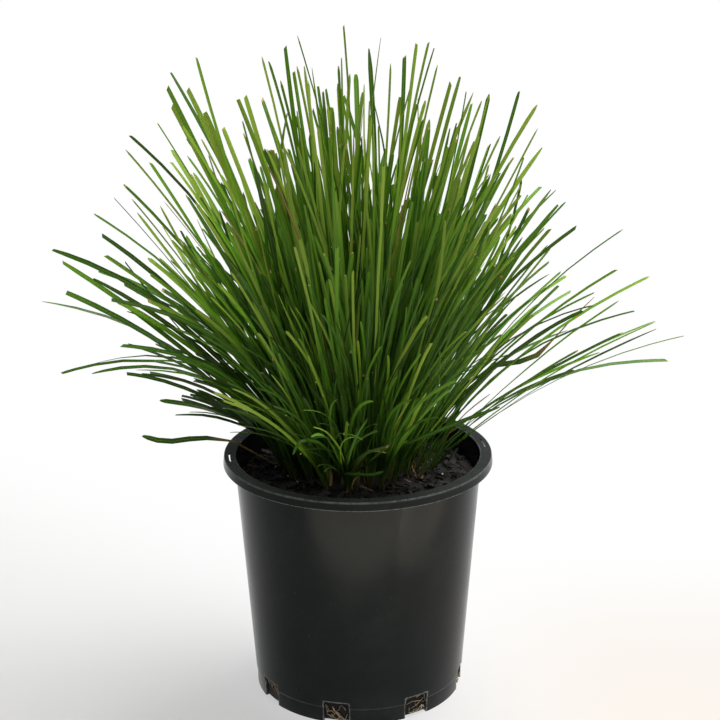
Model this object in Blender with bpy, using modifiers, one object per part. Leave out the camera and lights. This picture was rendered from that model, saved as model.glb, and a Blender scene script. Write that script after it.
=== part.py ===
# A clump of strap-leaved ornamental grass in a black nursery pot.
# Metres, +Z up. The origin is on the ground under the middle of the pot, and the front faces -Y.
# Azimuths are in degrees from the front, positive towards +X.

import math
import random

import bmesh
import bpy
from mathutils import Vector
from mathutils.bvhtree import BVHTree

# The pot
POT_HEIGHT = 0.1848
WALL = 0.0013
WALL_RADIUS_AT_GROUND = 0.0782  # the wall's outer line carried down to the ground
WALL_TAPER = 0.0736  # how much the radius grows for each metre of height
LEDGE_INNER_RADIUS = 0.0905
LEDGE_OUTER_RADIUS = 0.0992
LEDGE_THICKNESS = 0.0015
SKIRT_RADIUS = 0.1000  # 200 mm across, the pot's trade size
SKIRT_DEPTH = 0.0065
FOOT_RADIUS = 0.0775
FOOT_HEIGHT = 0.0124  # up to the fine step line
FOOT_INSET = 0.0007
FLOOR_THICKNESS = 0.0016
FLOOR_RING_INNER = 0.0600  # the pot stands on a flat ring outside this radius
FLOOR_RISE = 0.0030  # how far the middle of the floor is raised
FLOOR_RISE_RUN = 0.0040
POT_STEPS = 40
WELD = 0.0001  # points nearer than this on the turned profile's axis are one

# The drainage notches and the slots in the ledge
NOTCH_COUNT = 8
NOTCH_FIRST_AZIMUTH = -12.5
NOTCH_WIDTH = 0.0190
NOTCH_TOP = 0.0170
NOTCH_INNER_RADIUS = 0.0700
NOTCH_OUTER_RADIUS = 0.0880
CUT_BELOW = 0.0040  # how far the notch cutters reach under the foot
SLOT_AZIMUTHS = (-83.0, 99.0)
SLOT_RADIUS = 0.0953
SLOT_WIDTH = 0.0028
SLOT_LENGTH = 0.0170

# The potting mix
GAP = 0.0003  # between pieces that touch
MIX_LEVEL = 0.1655
CROWN_LEVEL = 0.1680  # the mix is a little higher under the clump
CROWN_REACH = 0.0600
MIX_RINGS = (0.0665, 0.0735, 0.0805)
MIX_LUMP = 0.0012
MIX_STEPS = 40
MIX_WELD = 0.00001

# The clump
CROWN_HALF_X = 0.0530
CROWN_HALF_Y = 0.0400
CROWN_Y = 0.0040
WIDEST_LEAN = math.radians(60.0)
SEAT_POWER = 0.75  # how soon a leaning shoot's seat nears the crown's edge
SEAT_SPACING = 0.0102
SPREAD_ROUNDS = 400
SHEATH_HEIGHT = 0.0110
SHEATH_LEAN = 0.4  # how much of its leading leaf's lean a sheath has
MOST_LEAN = 0.5  # and the most it has, as run beside rise
SHEATH_FOOT = 0.78  # the sheath's foot beside its top
FAN_TURN = 1.1  # how far a fan may be turned away from its leading leaf, in radians
OPEN_FAN_TURN = 0.7  # and how far where that leaf leans out, so that its arch keeps one face up
STRIP_STEP = 0.00115  # from one leaf base to the next along the fan
BASE_HALF_WIDTH = 0.0016
LEAF_KEEL = 0.0011
LEAST_KEEL = 0.6  # of the keel, where a leaf comes to a point
LEAF_WIDTHS = (0.0024, 0.0034, 0.0040, 0.0042, 0.0046)
TIP_WIDTHS = (0.25, 0.55, 0.75, 0.85)  # of the leaf's own width
MOST_TWIST = 0.6  # radians over the leaf's length
RINGS = (0.08, 0.55, 1.0)  # the joints of a leaf's form along its line
ARCHED_RINGS = (0.08, 0.36, 0.68, 1.0)
SAG = 0.14  # the bow of a level leaf beside its length
SIDE_BOW = 0.025
CLEARANCE = 0.0003
NUDGE = 0.0300  # how far the tip of a leading leaf may move front to back to find room
NUDGE_ASIDE = 0.3  # how much of that it may move sideways or up
FAN_STEP = math.radians(4.6)
FAN_EASE = (0.75, 1.15)
SIDE_SPREAD = 0.05  # how far a leaf leaves the plane of its fan, beside its length
MORE_SPREAD = 0.10  # and how much further where room is short
INNER_LENGTH = (0.55, 1.0, 0.92)  # beside the leading leaf: least, most and most common
OUTER_LENGTH = (0.50, 0.85)
SAG_EASE = (0.7, 1.2)
MORE_SAG = 0.15
LEAST_HEIGHT = 0.1850
OPEN_SLOPE = 0.6  # a shoot that leans more than this has its leading leaf outermost
ARCHED = 1.25  # a leaf that bends more than this has one more joint in its form
TRIES = 160

# The shoots: the tip of each one's leading leaf in millimetres (x, y, z), how strongly that leaf sags,
# and how many leaves the shoot has.
LEFT_SHOOTS = (
    (-229, 10, 299, 1.6, 5),
    (-222, 25, 334, 1.5, 6),
    (-181, -35, 375, 2.3, 6),
    (-193, 50, 311, 1.9, 6),
    (-214, -15, 252, 3.4, 4),
    (-173, 30, 236, 1.7, 4),
    (-174, 20, 373, 0.8, 7),
    (-160, 5, 196, 0.5, 2),
    (-152, 55, 206, 0.8, 3),
    (-164, -55, 286, 3.0, 5),
    (-165, -85, 328, 2.6, 6),
    (-140, -40, 412, -0.3, 7),
    (-166, 60, 411, 1.6, 7),
    (-112, -70, 395, 1.0, 6),
)
RIGHT_SHOOTS = (
    (228, 10, 251, 1.5, 3),
    (225, 50, 269, 0.8, 3),
    (208, -15, 322, 1.6, 3),
    (193, -50, 307, 2.5, 3),
    (193, 20, 348, 1.7, 4),
    (149, -60, 370, 2.6, 5),
    (152, 30, 366, 1.4, 6),
    (135, -30, 389, 1.7, 7),
    (229, -45, 287, 0.8, 4),
    (137, 60, 400, 1.7, 7),
    (142, 110, 359, 1.4, 5),
)
CREST_SHOOTS = (
    (-131, 30, 462, 1.0, 8),
    (-110, 0, 477, -0.2, 8),
    (-129, -15, 459, 1.1, 7),
    (-79, -40, 455, 1.2, 7),
    (-70, 90, 432, 1.0, 7),
    (-50, 40, 478, 1.0, 8),
    (-34, -45, 478, 1.2, 7),
    (-8, 10, 497, 1.0, 7),
    (0, 120, 445, 1.0, 6),
    (10, 50, 475, 1.2, 7),
    (41, -50, 493, 1.0, 7),
    (36, 90, 463, 1.0, 7),
    (50, -10, 488, 1.0, 8),
    (73, 10, 461, 1.3, 8),
    (89, 130, 420, 1.2, 6),
    (120, 70, 440, -0.5, 7),
    (129, 20, 439, 1.6, 8),
    (98, -45, 430, 1.0, 7),
    (93, 0, 449, 0.6, 7),
)
FRONT_SHOOTS = (
    (-80, -92, 350, 1.0, 6),
    (-40, -108, 370, 1.0, 6),
    (-85, -168, 285, 1.3, 4),
    (-12, -130, 375, 1.0, 6),
    (-28, -205, 275, 1.4, 4),
    (35, -125, 365, 1.0, 6),
    (62, -176, 300, 1.2, 4),
    (95, -125, 315, 1.1, 5),
)
BACK_SHOOTS = (
    (-165, 125, 300, 1.2, 6),
    (-95, 190, 290, 1.4, 6),
    (-20, 206, 320, 1.1, 6),
    (55, 190, 345, 1.0, 6),
    (105, 178, 280, 1.4, 6),
    (165, 120, 285, 1.3, 5),
)

UP = Vector((0.0, 0.0, 1.0))


def wall_radius(height):
    return WALL_RADIUS_AT_GROUND + WALL_TAPER * height


def around(azimuth, radius, height):
    turn = math.radians(azimuth)
    return Vector((radius * math.sin(turn), -radius * math.cos(turn), height))


def new_collection(name):
    collection = bpy.data.collections.new(name)
    bpy.context.scene.collection.children.link(collection)
    return collection


def new_material(name, colour, roughness, metallic=0.0):
    material = bpy.data.materials.new(name)
    material.use_nodes = True
    shader = material.node_tree.nodes["Principled BSDF"]
    shader.inputs["Base Color"].default_value = (*colour, 1.0)
    shader.inputs["Roughness"].default_value = roughness
    shader.inputs["Metallic"].default_value = metallic
    return material


def object_from(bm, name, collection, material=None):
    bmesh.ops.recalc_face_normals(bm, faces=bm.faces[:])
    if bm.calc_volume(signed=True) < 0.0:
        bmesh.ops.reverse_faces(bm, faces=bm.faces[:])
    mesh = bpy.data.meshes.new(name)
    bm.to_mesh(mesh)
    bm.free()
    obj = bpy.data.objects.new(name, mesh)
    collection.objects.link(obj)
    if material:
        mesh.materials.append(material)
    return obj


def turned(name, profile, steps, collection, material):
    # A closed solid of revolution: the profile goes from the axis out, over the top and back.
    mesh = bpy.data.meshes.new(name)
    edges = [(i, i + 1) for i in range(len(profile) - 1)]
    mesh.from_pydata([(radius, 0.0, height) for radius, height in profile], edges, [])
    mesh.materials.append(material)
    obj = bpy.data.objects.new(name, mesh)
    collection.objects.link(obj)
    screw = obj.modifiers.new("turn", "SCREW")
    screw.steps = steps
    screw.render_steps = steps
    screw.use_merge_vertices = True
    screw.merge_threshold = WELD
    screw.use_smooth_shade = True
    return obj


def box_cutter(name, size, azimuth, radius, height, collection):
    bpy.ops.mesh.primitive_cube_add(size=1.0)
    cutter = bpy.context.object
    cutter.name = name
    for other in cutter.users_collection:
        other.objects.unlink(cutter)
    collection.objects.link(cutter)
    cutter.scale = size
    cutter.rotation_euler = (0.0, 0.0, math.radians(azimuth))
    cutter.location = around(azimuth, radius, height)
    cutter.hide_render = True
    cutter.display_type = "WIRE"
    return cutter


def cut(obj, cutter):
    boolean = obj.modifiers.new(cutter.name, "BOOLEAN")
    boolean.operation = "DIFFERENCE"
    boolean.object = cutter
    boolean.solver = "EXACT"


def make_pot(parts, cutters):
    material = new_material("black plastic", (0.012, 0.013, 0.014), 0.38)
    skirt_bottom = POT_HEIGHT - SKIRT_DEPTH
    ledge_under = POT_HEIGHT - LEDGE_THICKNESS
    floor_top = FLOOR_RISE + FLOOR_THICKNESS
    profile = [
        (0.0, floor_top),
        (FLOOR_RING_INNER - FLOOR_RISE_RUN - WALL, floor_top),
        (FLOOR_RING_INNER - WALL, FLOOR_THICKNESS),
        (FOOT_RADIUS - WALL, FLOOR_THICKNESS),
        (wall_radius(FOOT_HEIGHT) - FOOT_INSET - WALL, FOOT_HEIGHT),
        (LEDGE_INNER_RADIUS, POT_HEIGHT - WALL / 2),
        (LEDGE_INNER_RADIUS + WALL / 2, POT_HEIGHT),
        (LEDGE_OUTER_RADIUS, POT_HEIGHT),
        (SKIRT_RADIUS, skirt_bottom),
        (SKIRT_RADIUS - WALL, skirt_bottom),
        (LEDGE_OUTER_RADIUS - WALL, ledge_under),
        (wall_radius(ledge_under), ledge_under),
        (wall_radius(FOOT_HEIGHT), FOOT_HEIGHT),
        (wall_radius(FOOT_HEIGHT) - FOOT_INSET, FOOT_HEIGHT - FOOT_INSET),
        (FOOT_RADIUS, 0.0),
        (FLOOR_RING_INNER, 0.0),
        (FLOOR_RING_INNER - FLOOR_RISE_RUN, FLOOR_RISE),
        (0.0, FLOOR_RISE),
    ]
    pot = turned("pot", profile, POT_STEPS, parts, material)
    depth = NOTCH_OUTER_RADIUS - NOTCH_INNER_RADIUS
    for i in range(NOTCH_COUNT):
        azimuth = NOTCH_FIRST_AZIMUTH + i * 360.0 / NOTCH_COUNT
        size = (NOTCH_WIDTH, depth, NOTCH_TOP + CUT_BELOW)
        middle = (NOTCH_TOP - CUT_BELOW) / 2
        radius = NOTCH_INNER_RADIUS + depth / 2
        cut(pot, box_cutter(f"notch_cutter_{i + 1}", size, azimuth, radius, middle, cutters))
    for i, azimuth in enumerate(SLOT_AZIMUTHS):
        size = (SLOT_LENGTH, SLOT_WIDTH, LEDGE_THICKNESS * 3)
        middle = POT_HEIGHT - LEDGE_THICKNESS / 2
        cut(pot, box_cutter(f"slot_cutter_{i + 1}", size, azimuth, SLOT_RADIUS, middle, cutters))
    return pot


def make_mix(parts):
    material = new_material("bark mix", (0.030, 0.022, 0.017), 0.95)
    draw = random.Random(11)
    inner_at_level = wall_radius(MIX_LEVEL) - WALL - GAP
    inner_at_floor = FOOT_RADIUS - WALL - GAP
    rise_top = FLOOR_RISE + FLOOR_THICKNESS + GAP
    profile = [(0.0, CROWN_LEVEL), (CROWN_REACH, CROWN_LEVEL)]
    profile += [(radius, MIX_LEVEL) for radius in MIX_RINGS]
    profile += [
        (inner_at_level, MIX_LEVEL),
        (wall_radius(FOOT_HEIGHT) - FOOT_INSET - WALL - GAP, FOOT_HEIGHT),
        (inner_at_floor, FLOOR_THICKNESS + GAP),
        (FLOOR_RING_INNER - WALL + GAP, FLOOR_THICKNESS + GAP),
        (FLOOR_RING_INNER - FLOOR_RISE_RUN - WALL, rise_top),
        (0.0, rise_top),
    ]
    bm = bmesh.new()
    points = [bm.verts.new((radius, 0.0, height)) for radius, height in profile]
    line = [bm.edges.new(pair) for pair in zip(points, points[1:])]
    bmesh.ops.spin(
        bm,
        geom=points + line,
        axis=UP,
        cent=(0.0, 0.0, 0.0),
        angle=math.tau,
        steps=MIX_STEPS,
        use_merge=True,
    )
    bmesh.ops.remove_doubles(bm, verts=bm.verts[:], dist=MIX_WELD)
    # The chips make the open ring of the mix uneven.
    ring_start = MIX_RINGS[0] - MIX_LUMP
    ring_end = inner_at_level - MIX_LUMP
    for vert in bm.verts:
        radius = math.hypot(vert.co.x, vert.co.y)
        if vert.co.z > MIX_LEVEL - MIX_LUMP and ring_start < radius < ring_end:
            vert.co.z += draw.uniform(-MIX_LUMP, MIX_LUMP)
    return object_from(bm, "potting_mix", parts, material)


def crown_seat(tip):
    # A leaf that leans further out grows nearer the edge of the crown.
    out = Vector((tip.x, tip.y - CROWN_Y))
    lean = math.atan2(out.length, tip.z - CROWN_LEVEL)
    share = min(lean / WIDEST_LEAN, 1.0) ** SEAT_POWER
    out.normalize()
    return Vector((out.x * CROWN_HALF_X, out.y * CROWN_HALF_Y)) * share


def spread_seats(seats):
    # Pushes neighbours apart until each shoot has its own room on the crown.
    for _ in range(SPREAD_ROUNDS):
        for i, one in enumerate(seats):
            for other in seats[:i]:
                between = one - other
                short = SEAT_SPACING - between.length
                if short > 0.0:
                    between.normalize()
                    one += between * short / 2
                    other -= between * short / 2
        for seat in seats:
            reach = math.hypot(seat.x / CROWN_HALF_X, seat.y / CROWN_HALF_Y)
            if reach > 1.0:
                seat *= 1.0 / reach
    return seats


class Leaf:
    # A leaf runs on a bowed line from its base to its tip. Its section is a shallow keel.
    def __init__(self, base, tip, sag, bow, side, twist, width, point, rings):
        self.base = base
        self.tip = tip
        chord = tip - base
        lift = chord.length * UP - chord * (chord.z / chord.length)
        self.bend = (base + tip) / 2 + lift * SAG * sag + bow * chord.length
        self.side = side
        self.twist = twist
        self.width = width
        self.point = point
        self.rings = rings

    def at(self, t):
        return self.base * (1 - t) ** 2 + self.bend * 2 * t * (1 - t) + self.tip * t * t

    def along(self, t):
        return ((self.bend - self.base) * (1 - t) + (self.tip - self.bend) * t).normalized()

    def section(self, t, extra=0.0):
        # The left edge, the right edge and the keel at this place of the line.
        way = self.along(t)
        across = (self.side - way * self.side.dot(way)).normalized()
        over = across.cross(way)
        turn = self.twist * t
        wide = across * math.cos(turn) + over * math.sin(turn)
        deep = wide.cross(way)
        size = self.point if t == self.rings[-1] else 1.0
        half = self.width * size / 2 + extra
        keel = LEAF_KEEL * (LEAST_KEEL + (1 - LEAST_KEEL) * size) + 2 * extra
        place = self.at(t) - deep * extra
        return place + wide * half, place - wide * half, place + deep * keel

    def sections(self, extra=0.0):
        return [self.section(t, extra) for t in self.rings]


def prism(sections):
    # The triangles of a three-sided tube through the sections, with both ends closed.
    points = [point for section in sections for point in section]
    faces = [(2, 1, 0)]
    for i in range(len(sections) - 1):
        a = 3 * i
        for j in range(3):
            k = (j + 1) % 3
            faces.append((a + j, a + k, a + 3 + k))
            faces.append((a + j, a + 3 + k, a + 3 + j))
    last = len(points) - 3
    faces.append((last, last + 1, last + 2))
    return points, faces


class Shoot:
    # A fan of leaves from one sheath. The sheath's top is a zigzag strip with a triangle for each leaf.
    def __init__(self, number, seat, tip, sag, count, draw):
        self.number = number
        self.tip = tip
        self.sag = sag
        self.count = count
        out = Vector((tip.x - seat.x, tip.y - seat.y, 0.0))
        leaning = out.length > (tip.z - CROWN_LEVEL) * OPEN_SLOPE
        self.lead = count - 1 if leaning else count // 2
        most = OPEN_FAN_TURN if leaning else FAN_TURN
        turn = math.atan2(out.y, out.x) + draw.uniform(-most, most)
        self.fan = Vector((math.cos(turn), math.sin(turn), 0.0))
        self.side = Vector((-math.sin(turn), math.cos(turn), 0.0))
        self.seat = Vector((seat.x, seat.y + CROWN_Y, CROWN_LEVEL + GAP))
        slope = min(SHEATH_LEAN * out.length / (tip.z - CROWN_LEVEL), MOST_LEAN)
        self.rise = (UP + out.normalized() * slope) * SHEATH_HEIGHT
        self.leaves = {}
        self.strip = []
        for j in range(self.count + 2):
            step = (j - (self.count + 1) / 2) * STRIP_STEP
            edge = BASE_HALF_WIDTH if j % 2 == 0 else -BASE_HALF_WIDTH
            self.strip.append(self.seat + self.rise + self.fan * step + self.side * edge)

    def base_of(self, j):
        return (self.strip[j] + self.strip[j + 1] + self.strip[j + 2]) / 3

    def base_section(self, j):
        first, second, keel = self.strip[j : j + 3]
        return (first, second, keel) if j % 2 == 0 else (second, first, keel)

    def foot(self):
        middle = self.seat + self.rise
        return [self.seat + (point - middle) * SHEATH_FOOT for point in self.strip]

    def sheath_faces(self):
        # A closed prism round the zigzag strip, for the test of room.
        rim = self.strip[0::2] + self.strip[1::2][::-1]
        low = self.foot()
        rim_low = low[0::2] + low[1::2][::-1]
        count = len(rim)
        sides = [(i, (i + 1) % count, count + (i + 1) % count, count + i) for i in range(count)]
        ends = [tuple(range(count)), tuple(range(count, 2 * count))]
        return rim + rim_low, sides + ends

    def draw_leaf(self, j, trial, draw):
        base = self.base_of(j)
        ease = trial / TRIES
        lead_line = self.tip - self.base_of(self.lead)
        way = lead_line.normalized()
        fan = (self.fan - way * self.fan.dot(way)).normalized()
        side = way.cross(fan)
        if j == self.lead:
            nudge = NUDGE * ease
            across = draw.uniform(-nudge, nudge) * NUDGE_ASIDE
            away = draw.uniform(-nudge, nudge)
            up = draw.uniform(-nudge, nudge) * NUDGE_ASIDE
            tip = self.tip + Vector((across, away, up))
            sag = self.sag
        else:
            angle = (j - self.lead) * FAN_STEP * draw.uniform(*FAN_EASE)
            spread = draw.uniform(-1, 1) * (SIDE_SPREAD + MORE_SPREAD * ease)
            way = (way + fan * math.tan(angle) + side * spread).normalized()
            inner = j < self.lead
            share = draw.triangular(*INNER_LENGTH) if inner else draw.uniform(*OUTER_LENGTH)
            tip = base + way * lead_line.length * share
            tip.z = max(tip.z, LEAST_HEIGHT)
            sag = self.sag * draw.uniform(*SAG_EASE) + draw.uniform(0.0, MORE_SAG)
        bow = side * draw.uniform(-SIDE_BOW, SIDE_BOW)
        width = draw.choice(LEAF_WIDTHS)
        point = draw.choice(TIP_WIDTHS)
        twist = draw.uniform(-MOST_TWIST, MOST_TWIST)
        arched = sag * math.hypot(way.x, way.y) > ARCHED
        rings = ARCHED_RINGS if arched else RINGS
        return Leaf(base, tip, sag, bow, self.side, twist, width, point, rings)

    def mesh(self):
        # Each triangle of the strip is drawn out into its leaf, ring by ring, and the strip down into
        # the sheath.
        bm = bmesh.new()
        top = [bm.verts.new(point) for point in self.strip]
        faces = [bm.faces.new(top[j : j + 3]) for j in range(self.count)]
        low = bmesh.ops.extrude_face_region(bm, geom=faces, use_keep_orig=True)["geom"]
        places = {tuple(vert.co): point for vert, point in zip(top, self.foot())}
        for vert in low:
            if isinstance(vert, bmesh.types.BMVert):
                vert.co = places[tuple(vert.co)]
        for j, leaf in self.leaves.items():
            cap = faces[j]
            base = self.base_section(j)
            held = {}
            for vert in cap.verts:
                held[vert] = min(range(3), key=lambda role: (base[role] - vert.co).length)
            for section in leaf.sections():
                before = [(vert.co.copy(), held[vert]) for vert in cap.verts]
                cap = bmesh.ops.extrude_discrete_faces(bm, faces=[cap])["faces"][0]
                held = {}
                for vert in cap.verts:
                    held[vert] = min(before, key=lambda item: (item[0] - vert.co).length)[1]
                for vert, role in held.items():
                    vert.co = section[role]
        return bm


class Thicket:
    # What has been grown so far, to find room for the next leaf.
    def __init__(self, fixed):
        self.fixed = fixed
        self.grown = {}

    def tree_without(self, number):
        points, faces = list(self.fixed[0]), list(self.fixed[1])
        for owner, pieces in self.grown.items():
            if owner == number:
                continue
            for more, sides in pieces:
                start = len(points)
                points += more
                faces += [tuple(start + i for i in side) for side in sides]
        return BVHTree.FromPolygons(points, faces)

    def own_trees(self, number):
        return [BVHTree.FromPolygons(*piece) for piece in self.grown[number][1:]]

    def add(self, number, piece):
        self.grown.setdefault(number, []).append(piece)


def grow_leaf(shoot, j, others, thicket, draw):
    base = shoot.base_section(j)
    own = thicket.own_trees(shoot.number)
    for trial in range(TRIES):
        leaf = shoot.draw_leaf(j, trial, draw)
        wide = leaf.sections(CLEARANCE)
        probe = BVHTree.FromPolygons(*prism([base] + wide))
        upper = BVHTree.FromPolygons(*prism(wide))
        if probe.overlap(others) or any(upper.overlap(tree) for tree in own):
            continue
        shoot.leaves[j] = leaf
        thicket.add(shoot.number, prism([base] + leaf.sections()))
        return


def solid_faces(objects):
    # The evaluated faces of these objects, as one list of points and one of faces.
    graph = bpy.context.evaluated_depsgraph_get()
    points, faces = [], []
    for obj in objects:
        evaluated = obj.evaluated_get(graph)
        mesh = evaluated.to_mesh()
        start = len(points)
        points += [obj.matrix_world @ vert.co for vert in mesh.vertices]
        faces += [tuple(start + i for i in face.vertices) for face in mesh.polygons]
        evaluated.to_mesh_clear()
    return points, faces


def make_shoots(parts, pot, mix):
    material = new_material("leaf", (0.105, 0.215, 0.030), 0.5)
    draw = random.Random(2412)
    leads = LEFT_SHOOTS + RIGHT_SHOOTS + CREST_SHOOTS + FRONT_SHOOTS + BACK_SHOOTS
    tips = [Vector((x, y, z)) / 1000 for x, y, z, _, _ in leads]
    seats = spread_seats([crown_seat(tip) for tip in tips])
    thicket = Thicket(solid_faces([pot, mix]))
    shoots = []
    for i, (seat, tip, lead) in enumerate(zip(seats, tips, leads)):
        shoot = Shoot(i + 1, seat, tip, lead[3], lead[4], draw)
        thicket.add(shoot.number, shoot.sheath_faces())
        shoots.append(shoot)
    for shoot in shoots:
        grow_leaf(shoot, shoot.lead, thicket.tree_without(shoot.number), thicket, draw)
    for shoot in shoots:
        others = thicket.tree_without(shoot.number)
        for j in range(shoot.count):
            if j != shoot.lead:
                grow_leaf(shoot, j, others, thicket, draw)
    for shoot in shoots:
        object_from(shoot.mesh(), f"shoot_{shoot.number:02d}", parts, material)
    return shoots


def main():
    for obj in list(bpy.data.objects):
        bpy.data.objects.remove(obj, do_unlink=True)
    parts = new_collection("potted_grass_clump")
    cutters = new_collection("cutters")
    pot = make_pot(parts, cutters)
    mix = make_mix(parts)
    bpy.context.view_layer.update()
    shoots = make_shoots(parts, pot, mix)
    grown = sum(len(shoot.leaves) for shoot in shoots)
    print(f"{len(shoots)} shoots with {grown} leaves")


main()
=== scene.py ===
import math
import random

import bmesh
import bpy
from mathutils import Matrix, Vector, noise
from mathutils.bvhtree import BVHTree


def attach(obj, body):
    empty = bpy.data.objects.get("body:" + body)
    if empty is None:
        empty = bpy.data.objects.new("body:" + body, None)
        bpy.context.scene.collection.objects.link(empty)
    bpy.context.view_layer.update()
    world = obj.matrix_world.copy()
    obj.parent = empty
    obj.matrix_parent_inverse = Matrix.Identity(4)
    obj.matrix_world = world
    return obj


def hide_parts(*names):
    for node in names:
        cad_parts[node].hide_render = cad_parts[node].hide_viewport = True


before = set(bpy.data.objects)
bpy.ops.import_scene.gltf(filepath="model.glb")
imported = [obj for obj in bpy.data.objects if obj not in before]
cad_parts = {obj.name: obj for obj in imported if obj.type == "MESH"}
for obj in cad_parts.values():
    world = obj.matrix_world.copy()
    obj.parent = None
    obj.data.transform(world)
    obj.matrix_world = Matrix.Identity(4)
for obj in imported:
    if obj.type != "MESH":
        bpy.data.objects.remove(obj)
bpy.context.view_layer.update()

# A clump of strap-leaved ornamental grass in a black nursery pot.
# Metres, +Z up, front towards -Y.

scene = bpy.context.scene
up = Vector((0.0, 0.0, 1.0))


def clamp(value, low=0.0, high=1.0):
    return max(low, min(high, value))


def smooth(low, high, value):
    share = clamp((value - low) / (high - low))
    return share * share * (3 - 2 * share)


def around(azimuth, radius, height):
    # A place beside the pot's axis, so many degrees round from the front.
    turn = math.radians(azimuth)
    return Vector((radius * math.sin(turn), -radius * math.cos(turn), height))


def squareTo(way, wide):
    return (wide - way * wide.dot(way)).normalized()


def objectFrom(bm, name):
    mesh = bpy.data.meshes.new(name)
    bm.to_mesh(mesh)
    bm.free()
    made = bpy.data.objects.new(name, mesh)
    scene.collection.objects.link(made)
    return made


def pieceFrom(bm, name, material, nodes=()):
    bm.normal_update()
    piece = objectFrom(bm, name)
    piece.data.materials.append(material)
    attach(piece, "root")
    if nodes:
        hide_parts(*nodes)
    return piece


def join(target, part):
    # Moves one mesh into another, with its layers.
    held = bpy.data.meshes.new("held")
    part.to_mesh(held)
    part.free()
    target.from_mesh(held)
    bpy.data.meshes.remove(held)


def smoothed(bm):
    for face in bm.faces:
        face.smooth = True
    return bm


def toned(bm, tone):
    layer = bm.verts.layers.float.new("tone")
    for vert in bm.verts:
        vert[layer] = tone
    return bm


def outwards(bm):
    # The sign of a bent form's volume tells which way its faces point.
    if bm.calc_volume(signed=True) < 0:
        bmesh.ops.reverse_faces(bm, faces=bm.faces[:])
    return bm


def block(size):
    bm = bmesh.new()
    bmesh.ops.create_cube(bm, size=1.0)
    bmesh.ops.scale(bm, vec=size, verts=bm.verts)
    return bm


def bevelled(bm, edges, reach, segments):
    bmesh.ops.bevel(bm, geom=edges, offset=reach, segments=segments, profile=0.5, affect="EDGES",
                    material=-1)


def unitForm(sides, shares):
    # A straight closed form of unit radius along +Z, with rings at these shares of its length.
    bm = bmesh.new()
    bmesh.ops.create_cone(bm, cap_ends=True, segments=sides, radius1=1, radius2=1, depth=1)
    long = [edge for edge in bm.edges if abs(edge.verts[0].co.z - edge.verts[1].co.z) > 0.5]
    bmesh.ops.subdivide_edges(bm, edges=long, cuts=len(shares) - 2)
    for vert in bm.verts:
        vert.co.z = shares[round((vert.co.z + 0.5) * (len(shares) - 1))]
    bmesh.ops.recalc_face_normals(bm, faces=bm.faces[:])
    return smoothed(bm)


def curveThrough(points, share):
    # A smooth line through the points, and its direction, at this share of its length.
    spot = clamp(share) * (len(points) - 1)
    i = min(int(spot), len(points) - 2)
    u = spot - i
    p1, p2 = points[i], points[i + 1]
    p0 = points[i - 1] if i else p1 * 2 - p2
    p3 = points[i + 2] if i + 2 < len(points) else p2 * 2 - p1
    m1, m2 = (p2 - p0) / 2, (p3 - p1) / 2
    place = (2 * u**3 - 3 * u**2 + 1) * p1 + (u**3 - 2 * u**2 + u) * m1
    place += (3 * u**2 - 2 * u**3) * p2 + (u**3 - u**2) * m2
    way = (6 * u**2 - 6 * u) * (p1 - p2) + (3 * u**2 - 4 * u + 1) * m1 + (3 * u**2 - 2 * u) * m2
    return place, way.normalized()


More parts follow.
